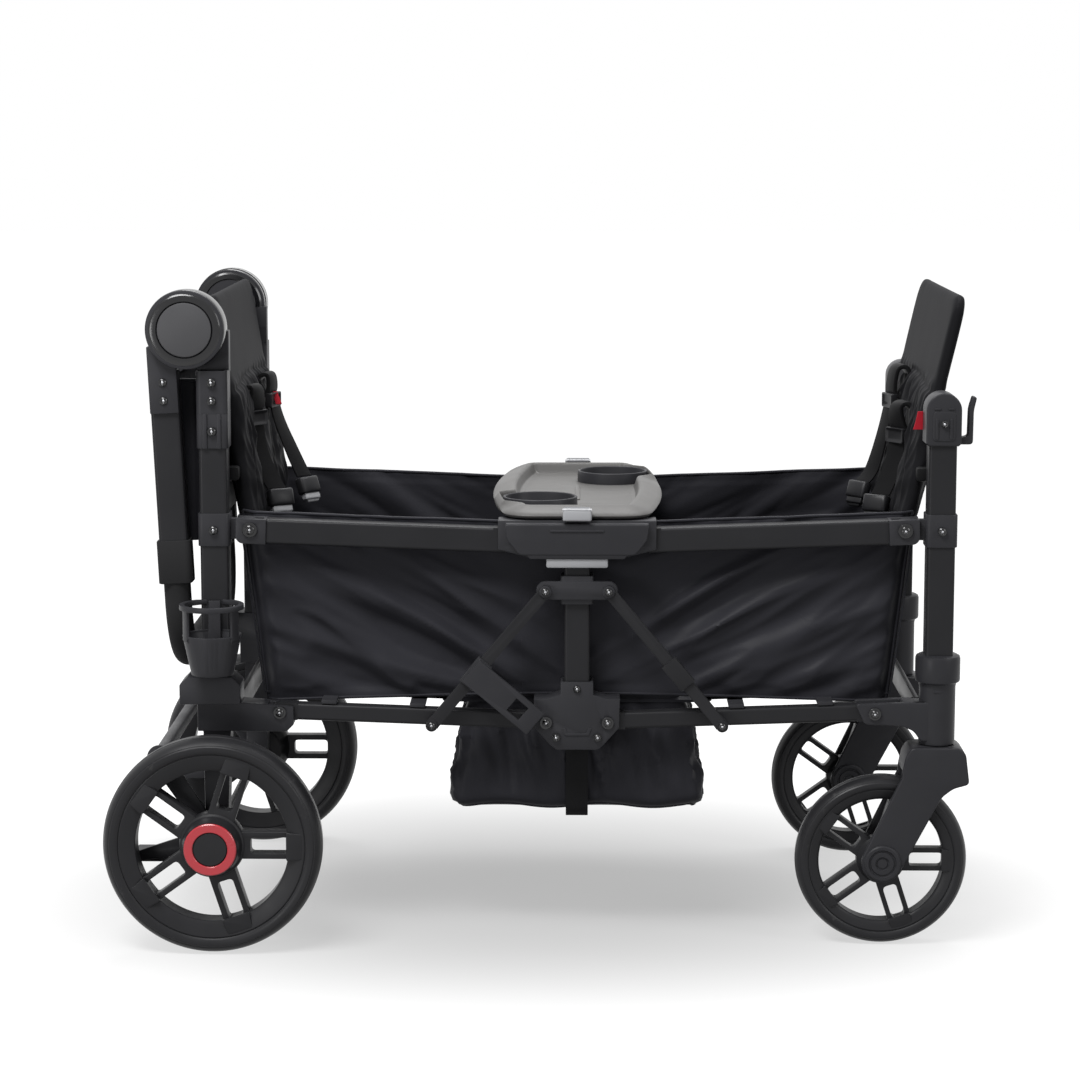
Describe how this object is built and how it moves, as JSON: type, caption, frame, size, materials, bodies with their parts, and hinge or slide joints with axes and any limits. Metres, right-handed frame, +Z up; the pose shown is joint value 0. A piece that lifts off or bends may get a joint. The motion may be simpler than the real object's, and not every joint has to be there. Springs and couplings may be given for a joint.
{
  "type": "stroller wagon",
  "caption": "Folding four-wheeled fabric tub on a tube frame with facing seat backs, swivel front wheels, swing-up push handle, snack tray, cup holder and parking brake.",
  "frame": {"origin": "on the ground, midway between the foremost and the hindmost point and on the middle plane", "axes": "+X the way it rolls, with the swivel wheels ahead, +Y its left side, +Z up"},
  "size_m": [1.0082, 0.6023, 0.7644],
  "materials": {
    "black_tube": "satin powder coat",
    "black_plastic": "fine grain",
    "grip_foam": "matte",
    "black_fabric": "plain weave",
    "webbing": "ribbed webbing",
    "tyre_foam": "matte",
    "rim_plastic": "satin",
    "red_plastic": "gloss",
    "tray_plastic": "satin",
    "grey_plastic": "satin",
    "steel": "bright",
    "black_steel": "satin powder coat"
  },
  "bodies": {
    "rear_frame": {"rear_posts": "black_tube", "rear_post_brackets": "black_plastic", "rear_lower_brackets": "black_plastic", "handle_hubs": "black_plastic", "rear_cross_bar": "black_steel", "rear_axle": "steel", "cup_holder": "black_plastic", "rear_seat_back": "black_fabric", "rear_harness": "webbing", "rear_end_panel": "black_fabric", "rear_pocket": "black_fabric", "rear_rivets": "steel"},
    "rear_top_rails": {"rear_upper_rails": "black_tube", "rear_rail_ends": "black_plastic"},
    "rear_bottom_rails": {"rear_lower_rails": "black_tube", "rear_floor_board": "black_fabric"},
    "centre": {"middle_posts": "black_tube", "rail_housings": "black_plastic", "middle_brackets": "black_plastic", "middle_rivets": "steel", "foot_well": "black_fabric", "tub_side_walls": "black_fabric"},
    "slider": {"brace_sliders": "black_plastic"},
    "rear_brace_pair": {"rear_braces": "black_tube", "fold_latches": "black_plastic"},
    "front_brace_pair": {"front_braces": "black_tube"},
    "front_top_rails": {"front_upper_rails": "black_tube", "front_rail_ends": "black_plastic"},
    "front_bottom_rails": {"front_lower_rails": "black_tube", "front_floor_board": "black_fabric"},
    "front_frame": {"front_posts": "black_tube", "front_post_brackets": "black_plastic", "caster_housings": "black_plastic", "hook_caps": "black_plastic", "front_cross_bar": "black_steel", "front_seat_back": "black_fabric", "front_harness": "webbing", "front_end_panel": "black_fabric", "front_rivets": "steel"},
    "caster_right": {"caster_fork_right": "black_plastic"},
    "caster_left": {"caster_fork_left": "black_plastic"},
    "front_wheel_right": {"front_tyre_right": "tyre_foam", "front_rim_right": "rim_plastic"},
    "front_wheel_left": {"front_tyre_left": "tyre_foam", "front_rim_left": "rim_plastic"},
    "rear_wheel_right": {"rear_tyre_right": "tyre_foam", "rear_rim_right": "rim_plastic", "rear_hub_ring_right": "red_plastic"},
    "rear_wheel_left": {"rear_tyre_left": "tyre_foam", "rear_rim_left": "rim_plastic", "rear_hub_ring_left": "red_plastic"},
    "handle": {"handle_lugs": "black_plastic", "handle_arms": "black_tube", "handle_grip": "grip_foam"},
    "pad_right": {"handle_pad_right": "black_plastic"},
    "pad_left": {"handle_pad_left": "black_plastic"},
    "brake": {"parking_brake": "black_plastic"},
    "tray": {"snack_tray": "tray_plastic"},
    "button_right": {"release_button_right": "grey_plastic"},
    "button_left": {"release_button_left": "grey_plastic"}
  },
  "joints": [
    {"name": "fold", "type": "hinge", "parent": "rear_frame", "child": "rear_top_rails", "pos_m": [-0.3291, 0, 0.488], "axis": [0, -1, 0], "range_deg": [0, 75], "deforming": ["foot_well", "tub_side_walls"]},
    {"name": "fold_centre", "type": "hinge", "parent": "rear_top_rails", "child": "centre", "pos_m": [-0.0203, 0, 0.47679], "axis": [0, 1, 0], "range_deg": [0, 75]},
    {"name": "fold_front_top", "type": "hinge", "parent": "centre", "child": "front_top_rails", "pos_m": [0.1153, 0, 0.47679], "axis": [0, 1, 0], "range_deg": [0, 75]},
    {"name": "fold_front_frame", "type": "hinge", "parent": "front_top_rails", "child": "front_frame", "pos_m": [0.4241, 0, 0.488], "axis": [0, -1, 0], "range_deg": [0, 75]},
    {"name": "fold_rear_bottom", "type": "hinge", "parent": "rear_frame", "child": "rear_bottom_rails", "pos_m": [-0.297, 0, 0.2745], "axis": [0, -1, 0], "range_deg": [0, 75]},
    {"name": "fold_front_bottom", "type": "hinge", "parent": "front_frame", "child": "front_bottom_rails", "pos_m": [0.392, 0, 0.2745], "axis": [0, 1, 0], "range_deg": [0, 75]},
    {"name": "slider_drop", "type": "slide", "parent": "centre", "child": "slider", "axis": [0, 0, -1], "range_m": [0, 0.0811]},
    {"name": "rear_brace_turn", "type": "hinge", "parent": "slider", "child": "rear_brace_pair", "pos_m": [0.0111, 0, 0.4185], "axis": [0, -1, 0], "range_deg": [0, 31]},
    {"name": "front_brace_turn", "type": "hinge", "parent": "slider", "child": "front_brace_pair", "pos_m": [0.0839, 0, 0.4185], "axis": [0, 1, 0], "range_deg": [0, 31]},
    {"name": "rear_wheel_right_spin", "type": "hinge", "parent": "rear_frame", "child": "rear_wheel_right", "pos_m": [-0.3725, -0.268, 0.127], "axis": [0, 1, 0], "continuous": true},
    {"name": "rear_wheel_left_spin", "type": "hinge", "parent": "rear_frame", "child": "rear_wheel_left", "pos_m": [-0.3725, 0.268, 0.127], "axis": [0, 1, 0], "continuous": true},
    {"name": "caster_right_swivel", "type": "hinge", "parent": "front_frame", "child": "caster_right", "pos_m": [0.4655, -0.218, 0.237], "axis": [0, 0, 1], "continuous": true},
    {"name": "front_wheel_right_spin", "type": "hinge", "parent": "caster_right", "child": "front_wheel_right", "pos_m": [0.4025, -0.218, 0.1], "axis": [0, 1, 0], "continuous": true},
    {"name": "caster_left_swivel", "type": "hinge", "parent": "front_frame", "child": "caster_left", "pos_m": [0.4655, 0.218, 0.237], "axis": [0, 0, 1], "continuous": true},
    {"name": "front_wheel_left_spin", "type": "hinge", "parent": "caster_left", "child": "front_wheel_left", "pos_m": [0.4025, 0.218, 0.1], "axis": [0, 1, 0], "continuous": true},
    {"name": "handle_swing", "type": "hinge", "parent": "rear_frame", "child": "handle", "pos_m": [-0.3993, 0, 0.7185], "axis": [0, 1, 0], "range_deg": [0, 150]},
    {"name": "pad_right_press", "type": "slide", "parent": "handle", "child": "pad_right", "axis": [0, 1, 0], "range_m": [0, 0.005], "stiffness_N_per_m": 600},
    {"name": "pad_left_press", "type": "slide", "parent": "handle", "child": "pad_left", "axis": [0, -1, 0], "range_m": [0, 0.005], "stiffness_N_per_m": 600},
    {"name": "button_right_press", "type": "slide", "parent": "centre", "child": "button_right", "axis": [0, 0, 1], "range_m": [0, 0.004], "stiffness_N_per_m": 800},
    {"name": "button_left_press", "type": "slide", "parent": "centre", "child": "button_left", "axis": [0, 0, 1], "range_m": [0, 0.004], "stiffness_N_per_m": 800},
    {"name": "brake_press", "type": "hinge", "parent": "rear_frame", "child": "brake", "pos_m": [-0.3725, 0, 0.127], "axis": [0, -1, 0], "range_deg": [0, 12]},
    {"name": "tray_lift", "type": "slide", "parent": "centre", "child": "tray", "axis": [0, 0, 1], "range_m": [0, 0.15]}
  ],
  "couplings": [
    {"joint": "fold_centre", "follows": "fold", "ratio": 1},
    {"joint": "fold_front_top", "follows": "fold", "ratio": 1},
    {"joint": "fold_front_frame", "follows": "fold", "ratio": 1},
    {"joint": "fold_rear_bottom", "follows": "fold", "ratio": 1},
    {"joint": "fold_front_bottom", "follows": "fold", "ratio": 1},
    {"joint": "slider_drop", "follows": "fold", "m_per_rad": 0.061951},
    {"joint": "rear_brace_turn", "follows": "fold", "ratio": 0.41332},
    {"joint": "front_brace_turn", "follows": "fold", "ratio": 0.41332}
  ]
}
